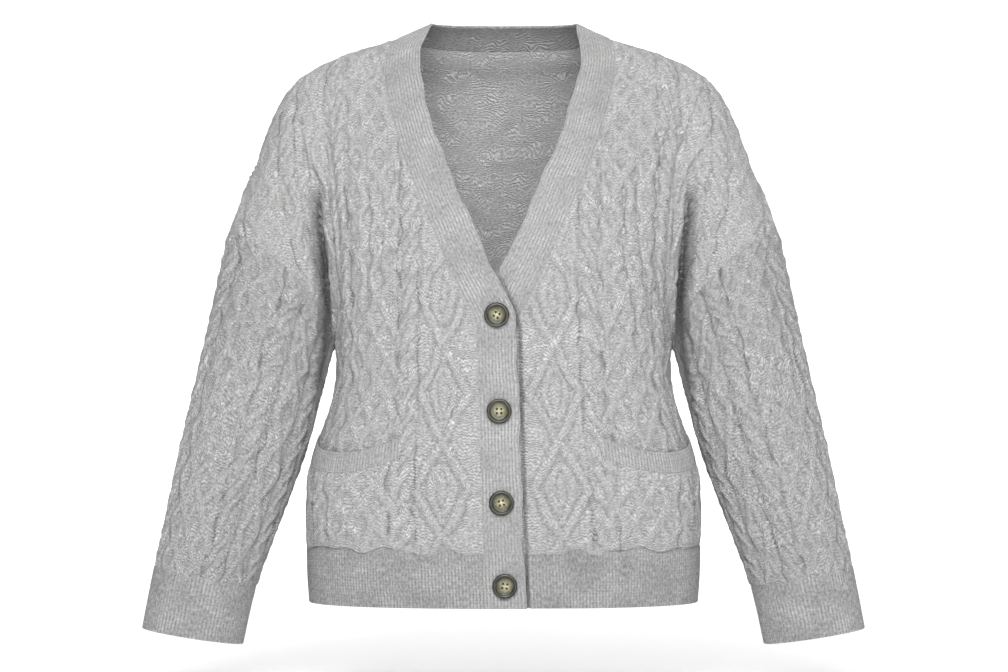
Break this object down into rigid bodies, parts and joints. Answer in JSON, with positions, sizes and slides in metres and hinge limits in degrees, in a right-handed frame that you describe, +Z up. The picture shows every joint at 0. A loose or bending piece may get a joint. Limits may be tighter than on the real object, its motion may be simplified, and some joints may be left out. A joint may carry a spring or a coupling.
{
  "type": "cable knit cardigan",
  "caption": "Light grey melange V-neck cable knit cardigan with ribbed band, patch pockets and dark rimmed buttons, shown worn by no one.",
  "frame": {"origin": "midway between the two points where the shoulder seams meet the neck band, where a wearer's shoulders hold the garment", "axes": "+Z up along the worn garment, the fronts face -Y, the wearer's right is -X"},
  "size_m": [0.7196, 0.2415, 0.6207],
  "materials": {
    "grey_knit": "matt, fuzzy wool-blend cable knit, light grey melange",
    "grey_rib": "matt 1x1 rib in the same yarn",
    "horn": "satin imitation horn, dark marbled rim and pale centre"
  },
  "bodies": {
    "root": {"back_panel": "grey_knit", "right_front": "grey_knit", "left_front": "grey_knit", "right_sleeve": "grey_knit", "left_sleeve": "grey_knit", "back_hem_rib": "grey_rib", "right_hem_rib": "grey_rib", "left_hem_rib": "grey_rib", "right_cuff": "grey_rib", "left_cuff": "grey_rib", "front_neck_band": "grey_rib", "right_pocket": "grey_knit", "left_pocket": "grey_knit", "right_pocket_rib": "grey_rib", "left_pocket_rib": "grey_rib", "button_1": "horn", "button_2": "horn", "button_3": "horn", "button_4": "horn"}
  },
  "joints": []
}
